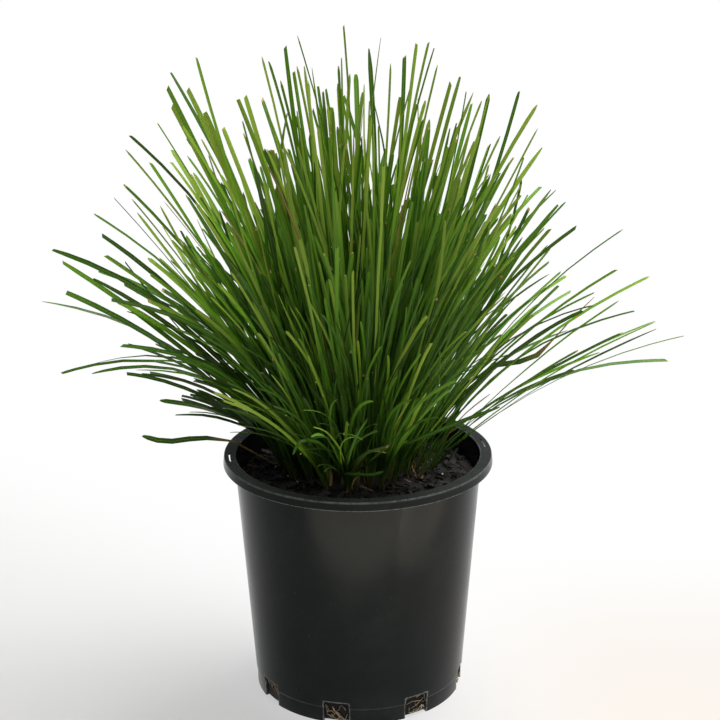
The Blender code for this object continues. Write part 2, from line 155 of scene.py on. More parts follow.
class Nodes:
    # A new material's nodes. A value is a number, a colour or another node's socket.
    def __init__(self, name):
        self.material = bpy.data.materials.new(name)
        self.material.use_nodes = True
        self.tree = self.material.node_tree
        self.shader = self.tree.nodes["Principled BSDF"]
        self.place = self.tree.nodes.new("ShaderNodeTexCoord").outputs["Object"]

    def link(self, value, socket):
        if isinstance(value, bpy.types.NodeSocket):
            self.tree.links.new(value, socket)
        elif isinstance(value, tuple) and len(value) == 3 and socket.type == "RGBA":
            socket.default_value = (*value, 1.0)
        else:
            socket.default_value = value

    def attribute(self, name):
        node = self.tree.nodes.new("ShaderNodeAttribute")
        node.attribute_name = name
        return node.outputs["Fac"]

    def math(self, operation, a, b=0.0, c=0.0):
        node = self.tree.nodes.new("ShaderNodeMath")
        node.operation = operation
        for value, socket in zip((a, b, c), node.inputs):
            self.link(value, socket)
        return node.outputs[0]

    def add(self, a, b):
        return self.math("ADD", a, b)

    def less(self, a, b):
        return self.math("SUBTRACT", a, b)

    def times(self, a, b):
        return self.math("MULTIPLY", a, b)

    def span(self, value, low, high, start=0.0, end=1.0):
        # Goes from start at low to end at high.
        node = self.tree.nodes.new("ShaderNodeMapRange")
        node.interpolation_type = "SMOOTHSTEP"
        for one, name in ((value, "Value"), (low, "From Min"), (high, "From Max"),
                          (start, "To Min"), (end, "To Max")):
            self.link(one, node.inputs[name])
        return node.outputs[0]

    def mix(self, share, a, b):
        node = self.tree.nodes.new("ShaderNodeMix")
        node.data_type = "RGBA"
        for value, i in ((share, 0), (a, 6), (b, 7)):
            self.link(value, node.inputs[i])
        return node.outputs[2]

    def ramp(self, value, stops):
        node = self.tree.nodes.new("ShaderNodeValToRGB")
        line = node.color_ramp
        while len(line.elements) < len(stops):
            line.elements.new(0.5)
        for element, (spot, colour) in zip(line.elements, stops):
            element.position = spot
            element.color = (*colour, 1.0)
        self.link(value, node.inputs["Fac"])
        return node.outputs["Color"]

    def noise(self, scale, detail=2.0, rough=0.5, vector=None):
        node = self.tree.nodes.new("ShaderNodeTexNoise")
        node.inputs["Scale"].default_value = scale
        node.inputs["Detail"].default_value = detail
        node.inputs["Roughness"].default_value = rough
        self.link(vector or self.place, node.inputs["Vector"])
        return node.outputs["Fac"]

    def split(self, vector):
        node = self.tree.nodes.new("ShaderNodeSeparateXYZ")
        self.link(vector, node.inputs[0])
        return node.outputs

    def stretched(self, scale):
        node = self.tree.nodes.new("ShaderNodeMapping")
        node.inputs["Scale"].default_value = scale
        self.link(self.place, node.inputs["Vector"])
        return node.outputs[0]

    def bump(self, height, distance, strength):
        node = self.tree.nodes.new("ShaderNodeBump")
        node.inputs["Distance"].default_value = distance
        node.inputs["Strength"].default_value = strength
        self.link(height, node.inputs["Height"])
        return node.outputs["Normal"]

    def surface(self, colour, rough, specular=0.5, normal=None):
        inputs = self.shader.inputs
        self.link(colour, inputs["Base Color"])
        self.link(rough, inputs["Roughness"])
        self.link(specular, inputs["Specular IOR Level"])
        if normal:
            self.link(normal, inputs["Normal"])
        return self.material

    def withSecond(self, share, kind, colour):
        # Mixes the surface with this share of another kind of shader.
        second = self.tree.nodes.new(kind)
        self.link(colour, second.inputs["Color"])
        both = self.tree.nodes.new("ShaderNodeMixShader")
        for value, i in ((share, 0), (self.shader.outputs[0], 1), (second.outputs[0], 2)):
            self.link(value, both.inputs[i])
        self.link(both.outputs[0], self.tree.nodes["Material Output"].inputs["Surface"])
        return self.material


# A leaf's colours. A span is low, high, the value at low and the value at high, and a noise is
# fineness, detail and roughness.
leafLook = {
    "deep": (0.014, 0.046, 0.003),
    "green": (0.037, 0.120, 0.005),
    "fresh": (0.098, 0.242, 0.008),
    "bright": (0.230, 0.345, 0.038),
    "levels": (0.0, 0.38, 0.72, 1.0),  # where these four stand between dark and light
    "rise": (0.06, 0.31, -0.22, 0.33),  # painted shade low down and painted light towards the tip: greener and lighter towards the tip
    "mottle": 0.16,
    "mottleNoise": (55.0, 3.0, 0.55),
    "blue": (0.050, 0.125, 0.026),
    "blueShare": 0.75,
    "rib": (0.0, 0.20, 0.42, 0.0),
    "veinRate": 15.0,
    "veins": (-0.6, 1.0, 0.0, 0.26),
    "sheath": (0.120, 0.190, 0.045),
    "sheathSpan": (0.012, 0.040, 0.40, 0.0),
    "foot": (0.100, 0.060, 0.030),
    "footSpan": (0.003, 0.013, 0.70, 0.0),
    "straw": (0.450, 0.340, 0.125),
    "strawSpan": (0.0, 0.0012),
    "brown": (0.155, 0.085, 0.026),
    "brownSpan": (0.0010, 0.0040),
    "dryMottle": (0.9, 0.55),  # how much the mottle counts for the dry end's reach, and the rest
    "spot": (0.420, 0.150, 0.030),
    "spotSpan": (0.865, 0.885),
    "spotNoise": (130.0, 0.0),
    "deadPale": 0.35,
    "deadNoise": (120.0, 4.0, 0.6),
    "roughness": (0.3, 0.7, 0.40, 0.54),
    "roughNoise": (240.0, 3.0),
    "specular": 0.19,
    "through": 0.17,  # of the light passes through a blade
    "throughPale": 0.35,
}
leafLayers = ("across", "fromBase", "toTip", "tone", "hue", "dry", "dead")


def leafMaterial():
    n = Nodes("grass leaf")
    look = leafLook
    across, fromBase, toTip, tone, hue, dry, dead = (n.attribute(name) for name in leafLayers)
    mottle = n.noise(*look["mottleNoise"])
    # Painted shade and light: darker low in the clump, greener and lighter towards the tip.
    level = n.add(n.add(tone, n.span(fromBase, *look["rise"])), n.times(mottle, look["mottle"]))
    shades = (look[name] for name in ("deep", "green", "fresh", "bright"))
    colour = n.ramp(level, tuple(zip(look["levels"], shades)))
    colour = n.mix(n.times(hue, look["blueShare"]), colour, look["blue"])
    # The midrib is a pale line, and the veins are fine stripes along the blade.
    rib = n.span(n.math("ABSOLUTE", across), *look["rib"])
    colour = n.mix(rib, colour, look["bright"])
    veins = n.span(n.math("SINE", n.times(across, look["veinRate"])), *look["veins"])
    colour = n.mix(veins, colour, look["deep"])
    # Pale sheath, red-brown foot.
    for name in ("sheath", "foot"):
        colour = n.mix(n.span(fromBase, *look[name + "Span"]), colour, look[name])
    # Dry end: straw, then brown at the very tip.
    share, start = look["dryMottle"]
    past = n.less(n.times(dry, n.add(n.times(mottle, share), start)), toTip)
    for name in ("straw", "brown"):
        colour = n.mix(n.span(past, *look[name + "Span"]), colour, look[name])
    # A few orange-brown spots.
    spots = n.span(n.noise(*look["spotNoise"]), *look["spotSpan"])
    colour = n.mix(spots, colour, look["spot"])
    # Dead leaves and scales.
    pale = n.times(n.noise(*look["deadNoise"]), n.add(tone, look["deadPale"]))
    colour = n.mix(dead, colour, n.mix(pale, look["brown"], look["straw"]))
    rough = n.span(n.noise(*look["roughNoise"]), *look["roughness"])
    n.surface(colour, rough, look["specular"])
    lit = n.mix(look["throughPale"], colour, look["bright"])
    return n.withSecond(look["through"], "ShaderNodeBsdfTranslucent", lit)


# How a shoot's solid is made: three-sided leaves whose bases stand on its hub.
solidShape = {
    "hub": 0.1793,
    "footDrop": 0.009,  # points further under the hub than this are the shoot's foot
    "level": 0.00003,  # points this near the hub lie on it
    "merge": 0.00005,
    # Where a leaf's rings stand, as shares of its length, by their number.
    "joints": {3: (0.08, 0.55, 1.0), 4: (0.08, 0.36, 0.68, 1.0)},
}

bladeShape = {
    "shares": (0, 0.03, 0.1, 0.2, 0.31, 0.43, 0.55, 0.67, 0.79, 0.89, 0.955, 0.985, 1),
    "footShare": 0.1,  # of the blade that runs through the sheath
    "sink": 0.0016,  # how far the foot reaches into the mix
    "footReach": 0.78,
    "footWide": (1.12, 0.12),  # how wide the foot is, and how much of that goes as it rises
    "width": (0.60, 0.88),  # of the form's width
    "slimForward": 0.26,  # how much slimmer the blades are that lean forwards
    "slimRight": 0.28,
    "facing": ((-0.5, 0.5), (0.0, 0.6)),  # to the side and up, beside forwards
    "facingAt": 0.6,
    "turn": (0.45, 1.0),  # how far a blade turns to show its face
    "turnSpan": (0.15, 0.9),  # between these shares of its length
    "thickness": 0.00036,
    "thinning": (1.15, 0.55),  # of the thickness at the foot, and how much of it goes
    "fold": (0.00020, 0.00070),
    "flatten": (1.3, 0.6),  # of the fold at the foot, and how much of it goes
    "slant": 0.0016,
    "tapers": (0.002, 0.003, 0.006, 0.016, 0.03),
    "wave": 0.00030,
    "waves": (0.8, 2.4),
    "narrowEase": (0.06, 0.1),  # over which share of its length a blade narrows and widens
    "witherEase": 0.08,
    # How many leaves are added to the shoots up to this number, and their length beside the
    # neighbours'.
    "extra": ((1, 3, 0.5, 0.9), (4, 8, 0.45, 0.92), (5, 2, 0.4, 0.7), (7, 8, 0.5, 0.9),
              (8, 0, 0.4, 0.6), (10, 3, 0.5, 0.8), (14, 9, 0.5, 0.95), (19, 0, 0.35, 0.75),
              (25, 1, 0.4, 0.8), (44, 30, 0.74, 1.02), (52, 18, 0.5, 0.95), (58, 9, 0.6, 1.0)),
    "addedWidth": (0.55, 1.0),  # of the neighbour's width
    "addedPoints": (0.12, 0.35, 0.6, 0.8),
    "between": (0.3, 0.7),
    "astray": (0.14, 0.7),  # of the tip, beside the length, and how much of it towards the face
    "astrayBend": (-0.5, 0.8),
    "sway": 0.06,  # how far a bow is drawn aside, beside the leaf's length
    "addedSway": 0.096,
    "thin": 0.01,  # the share of added leaves that are thin and withered
    "thinWidth": 0.45,
    "thinWithered": (0.3, 1.0),
    "tries": 30,
    "arch": 1.0,  # no leaf is added between others that bends more than this, in radians
    "packed": 0.03,  # leaves of one shoot may touch this far from their feet
    "seed": 77,
}

# A blade's tone, from dark to light, and where its tip counts as forward, right and so on.
bladeTone = {
    "forward": (0.02, 0.09),
    "right": (0.1, 0.2),
    "aside": (0.07, 0.17),
    "high": (0.34, 0.41),
    "drawn": (0.50, 0.34),  # middle and spread
    # painted shade on the blades that lean to the sides, painted light on the low ones in front
    "paintedShadeAside": 0.08,
    "paintedLightForward": 0.22,
    "most": (1.05, 0.40),  # the lightest tone, and how much less it is at the sides, as painted shade
    "arched": 0.7,
    "low": 0.25,
    "lowShare": 0.4,  # of the tone is left to arched and low leaves, as painted shade
    "inner": (0.6, 0.95),  # a leaf this short beside its neighbours is inside the clump
    "shade": 0.80,  # painted shade: how much darker the short leaves inside the clump are
    "hue": (-0.2, 0.35),
    "dry": (0.0,) * 9 + (0.0008, 0.0014, 0.0026),
}

# Few leaves are added low at the right, where they stand wide apart.
openSide = {"x": 0.115, "z": 0.37, "skipped": 0.85}


def neighbours(ring, known=()):
    # The other points that a ring is joined to, in the mesh's own order.
    found = {edge.other_vert(vert).index: edge.other_vert(vert)
             for vert in ring for edge in vert.link_edges}
    return [found[i] for i in sorted(found) if found[i] not in ring and found[i] not in known]


def edgesOf(ring, wide=None):
    # The two edge points and the keel point of a ring: its longest side, or the one along wide.
    turns = [[ring[(i + j) % 3].co for j in range(3)] for i in range(3)]
    if wide is None:
        return max(turns, key=lambda turn: (turn[0] - turn[1]).length)
    left, right, keel = max(turns, key=lambda t: abs((t[0] - t[1]).normalized().dot(wide)))
    if (left - right).dot(wide) < 0:
        left, right = right, left
    return left, right, keel


def middleOf(places):
    return sum(places, Vector()) / len(places)


def readLeaves(node):
    # The line, width and facing of every leaf of a shoot, from its solid.
    s = solidShape
    bm = bmesh.new()
    bm.from_mesh(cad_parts[node].data)
    bmesh.ops.remove_doubles(bm, verts=bm.verts[:], dist=s["merge"])
    bm.verts.index_update()
    hub = s["hub"]
    lowMiddle = middleOf([vert.co for vert in bm.verts if vert.co.z < hub - s["footDrop"]])
    topMiddle = middleOf([vert.co for vert in bm.verts if abs(vert.co.z - hub) < s["level"]])
    leaves = []
    for face in bm.faces:
        ring = list(face.verts)
        if len(neighbours(ring)) != 3 or min(vert.co.z for vert in ring) < hub:
            continue
        rings = [ring]
        known = list(ring)
        while max(abs(vert.co.z - hub) for vert in rings[-1]) > s["level"]:
            rings.append(neighbours(rings[-1], known))
            known += rings[-1]
        if len(rings) - 1 not in s["joints"]:
            print("skipped a leaf of", node, len(rings))
            continue
        shares = s["joints"][len(rings) - 1]
        middle = edgesOf(rings[1])
        wide = (middle[0] - middle[1]).normalized()
        sections = [edgesOf(one, wide) for one in rings[-2::-1]]
        places = [(left + right) / 2 for left, right, _ in sections]
        base = middleOf([vert.co for vert in rings[-1]])
        tip = places[-1]
        bends = []
        for share, place in list(zip(shares, places))[1:-1]:
            rest = place - base * (1 - share) ** 2 - tip * share**2
            bends.append(rest / (2 * share * (1 - share)))
        inner = sections[-2]
        width = (inner[0] - inner[1]).length
        leaves.append({
            "base": base,
            "bend": middleOf(bends),
            "tip": tip,
            "foot": lowMiddle + (base - topMiddle) * bladeShape["footReach"],
            "shares": shares,
            "wides": [(left - right).normalized() for left, right, _ in sections],
            "deep": (inner[2] - (inner[0] + inner[1]) / 2).normalized(),
            "width": width,
            "points": None,
            "point": (sections[-1][0] - sections[-1][1]).length / width,
        })
    bm.free()
    # In the order of the fan.
    way = max((a["base"] - b["base"] for a in leaves for b in leaves), key=lambda v: v.length)
    leaves.sort(key=lambda leaf: leaf["base"].dot(way))
    return leaves


def leafLine(leaf, share):
    # The blade rises through the sheath and then follows its bowed line, or its own points.
    if leaf["points"]:
        place, way = curveThrough(leaf["points"], share)
        return place, way, share
    base, bend, tip = leaf["base"], leaf["bend"], leaf["tip"]
    start = leaf["shares"][0]

    def bowed(t):
        return base * (1 - t) ** 2 + bend * (2 * t * (1 - t)) + tip * t * t

    foot = bladeShape["footShare"]
    if share < foot:
        u = share / foot
        first = leaf["foot"] - up * bladeShape["sink"]
        place = first * (1 - u) ** 2 + base * (2 * u * (1 - u)) + bowed(start) * u * u
        way = (base - first) * (1 - u) + (bowed(start) - base) * u
        return place, way.normalized(), start * u
    t = start + (share - foot) / (1 - foot) * (1 - start)
    way = (bend - base) * (1 - t) + (tip - bend) * t
    return bowed(t), way.normalized(), t


def leafFacing(leaf, way, t):
    # The directions across the blade and square to it.
    shares, wides = leaf["shares"], leaf["wides"]
    if leaf["points"]:
        wide = squareTo(way, wides[0].lerp(wides[-1], t))
        return wide, wide.cross(way)
    i = 0
    while i < len(shares) - 2 and t > shares[i + 1]:
        i += 1
    part = clamp((t - shares[i]) / (shares[i + 1] - shares[i]))
    wide = squareTo(way, wides[i].lerp(wides[i + 1], part))
    turn = leaf["turn"] * smooth(*bladeShape["turnSpan"], t)
    wide = Matrix.Rotation(turn, 3, way) @ wide
    deep = wide.cross(way)
    return wide, -deep if leaf["flip"] else deep


def archOf(leaf):
    return (leaf["bend"] - leaf["base"]).angle(leaf["tip"] - leaf["bend"])


def finishLeaf(leaf, draw):
    # Draws what the solid doesn't say: fold, slant, tones, dryness.
    s, t = bladeShape, bladeTone
    tip = leaf["tip"]
    way = leafLine(leaf, s["facingAt"])[1]
    wide = leaf["wides"][-2]
    leaf["flip"] = wide.cross(way).dot(leaf["deep"]) < 0
    # Most blades turn their face outwards and forwards as they rise.
    side, rise = (draw.uniform(*reach) for reach in s["facing"])
    face = Vector((side, -1.0, rise)).cross(way).normalized()
    level = squareTo(way, wide)
    turn = math.atan2(level.cross(face).dot(way), level.dot(face))
    turn = (turn + math.pi / 2) % math.pi - math.pi / 2
    leaf["turn"] = turn * draw.uniform(*s["turn"])
    leaf["fold"] = draw.uniform(*s["fold"])
    forward = smooth(*t["forward"], -tip.y)
    leaf["breadth"] = draw.uniform(*s["width"]) * (1 - s["slimForward"] * forward)
    leaf["breadth"] *= 1 - s["slimRight"] * smooth(*t["right"], tip.x)
    leaf["slant"] = draw.uniform(-1, 1) * s["slant"]
    leaf["taper"] = draw.choice(s["tapers"])
    leaf["wavePhase"] = draw.uniform(0, math.tau)
    leaf["waves"] = draw.uniform(*s["waves"])
    # Painted shade and light: the blades that lean out to the sides are darker, and the low ones in
    # front are lighter.
    aside = smooth(*t["aside"], abs(tip.x))
    lit = forward * (1 - smooth(*t["high"], tip.z))
    tone = draw.gauss(*t["drawn"]) - t["paintedShadeAside"] * aside + t["paintedLightForward"] * lit
    leaf["tone"] = clamp(tone, 0.0, t["most"][0] - t["most"][1] * aside)
    # Painted shade: arched and low leaves are darker.
    if archOf(leaf) > t["arched"] or tip.z < t["low"]:
        leaf["tone"] *= t["lowShare"]
    leaf["hue"] = max(0.0, draw.gauss(*t["hue"]))
    leaf["dry"] = draw.choice(t["dry"])
    leaf["withered"] = None
    leaf["narrow"] = None
    return leaf


def bent(leaf, most, draw):
    # The same leaf with its bow drawn aside.
    way = leaf["tip"] - leaf["base"]
    wide = leaf["wides"][-1]
    other = wide.cross(way.normalized())
    aside = wide * draw.uniform(-most, most) + other * draw.uniform(-most, most)
    return dict(leaf, bend=leaf["bend"] + aside * way.length)


def growBlade(form, leaf):
    # The straight form, bent along its leaf's line.
    s = bladeShape
    bm = form.copy()
    layers = {name: bm.verts.layers.float.new(name) for name in leafLayers}
    spots = {}
    before, total = None, 0.0
    for share in s["shares"]:
        place, way, t = leafLine(leaf, share)
        if before:
            total += (place - before).length
        before = place
        spots[round(share, 4)] = (place, way, *leafFacing(leaf, way, t), total)
    for vert in bm.verts:
        share = round(vert.co.z, 4)
        place, way, wide, deep, reach = spots[share]
        toTip = total - reach
        half = leaf["width"] / 2 * leaf["breadth"]
        half *= s["footWide"][0] - s["footWide"][1] * smooth(0.0, 0.2, share)
        if leaf["narrow"]:
            start, end, rest = leaf["narrow"]
            ease, lastEase = s["narrowEase"]
            within = smooth(start - ease, start + ease, share)
            within *= 1 - smooth(end - ease, end + lastEase, share)
            half *= 1 - (1 - rest) * within
        dead = 0.0
        if leaf["withered"]:
            start, end = leaf["withered"]
            ease = s["witherEase"]
            dead = smooth(start - ease, start, share) * (1 - smooth(end, end + ease, share))
        # The width falls to the tip's own over the taper.
        full = clamp(toTip / leaf["taper"])
        size = leaf["point"] + (1 - leaf["point"]) * full**0.7
        fold = leaf["fold"] * (s["flatten"][0] - s["flatten"][1] * smooth(0.0, 0.5, share)) * size
        thick = s["thickness"] * (s["thinning"][0] - s["thinning"][1] * share) / 2
        wave = s["wave"] * smooth(0.1, 0.3, share)
        sway = math.sin(leaf["wavePhase"] + leaf["waves"] * share * math.tau)
        x, y = vert.co.x, vert.co.y
        spot = place + wide * (half * size * x + wave * sway)
        spot += deep * ((1 - abs(x)) * (fold + thick * y))
        if toTip < leaf["taper"]:
            spot += way * leaf["slant"] * x * size * (1 - full)
        vert.co = spot
        values = (x, reach, toTip, leaf["tone"], leaf["hue"], leaf["dry"], dead)
        for name, value in zip(leafLayers, values):
            vert[layers[name]] = value
    return outwards(bm)


def between(one, other, share, keeps, draw):
    # A leaf that grows between two leaves of the fan.
    leaf = dict(one)
    for name in ("base", "bend", "tip", "foot"):
        leaf[name] = one[name].lerp(other[name], share)
    if len(one["wides"]) == len(other["wides"]):
        leaf["wides"] = [a.lerp(b, share) if a.dot(b) > 0 else a.copy()
                         for a, b in zip(one["wides"], other["wides"])]
    keep = draw.uniform(*keeps)
    leaf["inner"] = 1 - smooth(*bladeTone["inner"], keep)
    s = bladeShape
    astray, faceShare = s["astray"]
    wide = one["wides"][0]
    way = leaf["tip"] - leaf["base"]
    deep = wide.cross(way.normalized())
    aside = wide * draw.uniform(-astray, astray)
    aside += deep * draw.uniform(-astray, astray) * faceShare
    leaf["tip"] = leaf["base"] + way * keep + aside * way.length
    leaf["bend"] = leaf["base"] + (leaf["bend"] - leaf["base"]) * keep
    leaf["bend"] += aside * way.length * draw.uniform(*s["astrayBend"])
    leaf["width"] = one["width"] * draw.uniform(*s["addedWidth"])
    leaf["point"] = draw.choice(s["addedPoints"])
    return bent(leaf, s["addedSway"], draw)


def treeOf(bm):
    tree = BVHTree.FromBMesh(bm)
    low = [min(vert.co[i] for vert in bm.verts) for i in range(3)]
    high = [max(vert.co[i] for vert in bm.verts) for i in range(3)]
    return tree, low, high


def meets(one, other):
    if any(one[1][i] > other[2][i] or other[1][i] > one[2][i] for i in range(3)):
        return False
    return bool(one[0].overlap(other[0]))


def upperPart(bm, least):
    # The blade without its foot, where the leaves of one shoot are packed together.
    part = bm.copy()
    layer = part.verts.layers.float["fromBase"]
    low = [vert for vert in part.verts if vert[layer] < least]
    bmesh.ops.delete(part, geom=low, context="VERTS")
    found = treeOf(part)
    part.free()
    return found


# Leaves that have a line of their own, as points in millimetres from the crown outwards. The
# first one is a leaf of the solid, and the others are added.
ownLines = {
    "low left": {
        "node": "shoot_08", "width": 5.0, "point": 0.35, "withered": (-0.1, 0.44),
        "narrow": (-0.1, 0.5, 0.34),
        "points": ((-66, 5, 172), (-80, 5, 184), (-95, 5, 192), (-113, 5, 194), (-125, 5, 193),
                   (-137, 5, 191), (-149, 5, 192), (-160, 5, 196)),
    },
    "broken": {
        "width": 4.8, "point": 0.4, "withered": (0.60, 1.1), "narrow": (0.62, 1.2, 0.24),
        "points": ((86, 0, 242), (111, -5, 254), (125, -8, 258), (137, -10, 269), (148, -10, 281),
                   (159, -10, 294), (170, -10, 306)),
    },
    "curled": {
        "width": 3.0, "point": 0.4,
        "points": ((-19, -60, 205), (-25, -72, 218), (-34, -80, 224), (-41, -84, 223),
                   (-45, -86, 216)),
    },
    "level": {
        "width": 3.0, "point": 0.3,
        "points": ((-14, -52, 188), (-4, -62, 191), (7, -68, 193), (18, -70, 196)),
    },
    "low right": {
        "width": 3.4, "point": 0.3,
        "points": ((29, -50, 206), (51, -60, 220), (75, -65, 233), (99, -70, 244)),
    },
    "dead": {
        "width": 3.0, "point": 0.4, "withered": (0.35, 1.1),
        "points": ((6, -62, 207), (13, -70, 212), (20, -74, 212)),
    },
    "short": {
        "width": 3.4, "point": 0.5,
        "points": ((22, -55, 205), (28, -62, 213), (35, -66, 218)),
    },
}
ownLook = {
    "breadth": 0.8,
    "tone": 0.25,
    "twist": 0.3,
    "tries": 80,
    "models": 4,
    "giveWay": 0.0005,  # for each try
}

# Leaves that stand out on the outline: tip and width in millimetres.
outerTips = (
    (-117, 0, 455, 4.2), (-106, 5, 438, 4.4), (-127, -8, 445, 3.8), (-77, 5, 449, 4.0),
    (-93, 0, 428, 3.6), (-65, 10, 476, 1.8), (-30, 5, 469, 1.8), (-17, 0, 442, 3.4),
    (31, 5, 448, 3.0), (57, 8, 470, 1.8), (66, 0, 458, 3.4), (128, 5, 425, 1.8),
    (-162, 0, 413, 1.6), (-160, 5, 376, 1.6), (-130, -5, 404, 2.6), (213, -20, 290, 1.4),
    (-177, -20, 341, 3.0), (-157, -40, 263, 1.6), (-146, -20, 327, 3.0),
)
outerLook = {
    "breadth": 0.9,
    "slim": 2,  # millimetres
    "slimPoint": 0.2,  # of the width is left at the tip of a leaf slimmer than that
    "point": 0.8,
    "tone": (0.55, 0.9),
    "follow": (0.4, 0.6),  # how much the bow moves with the tip
    "tries": 60,
    "models": 6,
    "giveWay": 0.0008,
}


def grown(form, leaf, node, shoots, least=bladeShape["packed"]):
    # Keeps the leaf's blade and tells so, unless it would meet another blade.
    blade = growBlade(form, leaf)
    whole = treeOf(blade)
    free = upperPart(blade, least)
    blocked = any(meets(free, tree) for tree in shoots[node]["trees"])
    for name, other in shoots.items():
        if blocked:
            break
        if name != node:
            blocked = any(meets(whole, tree) for tree in other["trees"])
    if blocked:
        blade.free()
        return False
    shoots[node]["blades"].append(blade)
    shoots[node]["trees"].append(whole)
    return True


def nearest(shoots, end, spot):
    # Every leaf and its shoot's name, with the one whose base or tip is nearest first.
    pairs = [(leaf, node) for node, shoot in shoots.items() for leaf in shoot["leaves"]]
    return sorted(pairs, key=lambda pair: (pair[0][end] - spot).length)


def dress(leaf, line, draw):
    # The leaf's foot and base, and then the line's own points.
    leaf.update({key: line.get(key) for key in ("point", "withered", "narrow")})
    leaf["width"] = line["width"] / 1000
    leaf["breadth"] = ownLook["breadth"]
    leaf["tone"] = ownLook["tone"]
    start = [leaf["foot"] - up * bladeShape["sink"], leaf["base"]]
    leaf["points"] = start + [Vector(point) / 1000 for point in line["points"]]
    way = (leaf["points"][-1] - leaf["points"][2]).normalized()
    flat = way.cross(scene.camera.location - leaf["points"][-1]).normalized()
    twist = draw.uniform(-ownLook["twist"], ownLook["twist"])
    leaf["wides"] = [flat, flat + up * twist]


def addOwnLines(form, shoots, draw):
    eye = scene.camera.location
    for name, line in ownLines.items():
        if "node" in line:
            continue
        pairs = nearest(shoots, "base", Vector(line["points"][0]) / 1000)
        for trial in range(ownLook["tries"]):
            # It gives way along the line of sight, where another leaf is in its room.
            model, node = pairs[trial % ownLook["models"]]
            leaf = finishLeaf(dict(model), draw)
            dress(leaf, line, draw)
            depth = draw.uniform(-1, 1) * ownLook["giveWay"] * trial
            spots = leaf["points"]
            for i in range(2, len(spots)):
                share = (i - 1) / (len(spots) - 2)
                spots[i] = spots[i] + (spots[i] - eye).normalized() * depth * share
            if grown(form, leaf, node, shoots):
                break
        else:
            print("no room for the leaf called", name)


def addOuter(form, shoots, draw):
    look = outerLook
    count = 0
    for x, y, z, width in outerTips:
        end = Vector((x, y, z)) / 1000
        pairs = nearest(shoots, "tip", end)
        for trial in range(look["tries"]):
            model, node = pairs[trial % look["models"]]
            leaf = finishLeaf(dict(model), draw)
            leaf["tip"] = end + Vector((0, draw.uniform(-1, 1) * look["giveWay"] * trial, 0))
            moved = leaf["tip"] - model["tip"]
            leaf["bend"] = model["bend"] + moved * draw.uniform(*look["follow"])
            leaf["points"] = None
            leaf["width"] = width / 1000
            leaf["breadth"] = look["breadth"]
            leaf["point"] = look["slimPoint"] if width < look["slim"] else look["point"]
            leaf["tone"] = draw.uniform(*look["tone"])
            if grown(form, leaf, node, shoots):
                count += 1
                break
    print(count, "of", len(outerTips), "outer leaves")


scaleShape = {
    "perShoot": 2,
    "height": (0.005, 0.015),
    "middle": 0.6,
    "out": (0.0022, 0.0012),  # of the foot, and of the middle beyond it
    "lean": (0.001, 0.006),
    "width": (0.0016, 0.0034),
    "tone": (0.1, 0.4),
    "point": (0.1, 0.6),
    "taper": 0.008,
    "withered": (-0.1, 1.0),
}


def addScales(form, shoots, draw):
    # Short brown scales stand round the foot of each shoot.
    s = scaleShape
    count = 0
    for node, shoot in shoots.items():
        for _ in range(s["perShoot"]):
            model = draw.choice(shoot["leaves"])
            leaf = finishLeaf(dict(model), draw)
            turn = draw.uniform(0, math.tau)
            out = Vector((math.cos(turn), math.sin(turn), 0))
            height = draw.uniform(*s["height"])
            foot = model["foot"] + out * s["out"][0] - up * bladeShape["sink"]
            middle = foot + up * height * s["middle"] + out * s["out"][1]
            top = foot + up * height + out * draw.uniform(*s["lean"])
            leaf["points"] = [foot, middle, top]
            leaf["wides"] = [up.cross(out)] * 2
            for name in ("width", "tone", "point"):
                leaf[name] = draw.uniform(*s[name])
            leaf["taper"] = s["taper"]
            leaf["withered"] = s["withered"]
            count += grown(form, leaf, node, shoots, 0.0)
    print(count, "scales round the feet")


def bladeForm():
    # Four-sided: two sharp edges, and between them the two faces, each smooth across its fold.
    form = unitForm(4, bladeShape["shares"])
    for edge in form.edges:
        atSide = all(abs(vert.co.x) > 0.5 for vert in edge.verts)
        atEnd = all(vert.co.z in (0.0, 1.0) for vert in edge.verts)
        edge.smooth = not (atSide or atEnd)
    return form


def growRead(form, shoots, draw):
    # The solids' own leaves, bent aside less and less until they keep clear of other shoots.
    held = 0
    for node, shoot in shoots.items():
        others = [t for name, one in shoots.items() if name != node for t in one["trees"]]
        for leaf in shoot["leaves"]:
            for part in (3, 2, 1, 0):
                blade = growBlade(form, bent(leaf, bladeShape["sway"] * part / 3, draw))
                tree = treeOf(blade)
                if not any(meets(tree, other) for other in others):
                    break
                blade.free()
            else:
                leaf["turn"] = 0.0
                blade = growBlade(form, leaf)
                tree = treeOf(blade)
                held += 1
            shoot["blades"].append(blade)
            shoot["trees"].append(tree)
    print(held, "of them had no room to turn")


def addBetween(form, shoots, draw):
    s = bladeShape
    added = 0
    for number, (node, shoot) in enumerate(shoots.items(), 1):
        wanted, *keeps = next(row[1:] for row in s["extra"] if number <= row[0])
        leaves = shoot["leaves"]
        for _ in range(wanted):
            for _ in range(s["tries"]):
                i = draw.randrange(len(leaves) - 1) if len(leaves) > 1 else 0
                other = leaves[min(i + 1, len(leaves) - 1)]
                leaf = between(leaves[i], other, draw.uniform(*s["between"]), keeps, draw)
                bare = leaf["tip"].x > openSide["x"] and leaf["tip"].z < openSide["z"]
                if bare and draw.random() < openSide["skipped"]:
                    continue
                if archOf(leaf) > s["arch"]:
                    continue
                finishLeaf(leaf, draw)
                # Painted shade: the short leaves inside the clump are darker.
                leaf["tone"] *= 1 - bladeTone["shade"] * leaf["inner"]
                if draw.random() < s["thin"]:
                    leaf["width"] *= s["thinWidth"]
                    leaf["withered"] = s["thinWithered"]
                if grown(form, leaf, node, shoots):
                    added += 1
                    break
    print(added, "more blades grown between them")


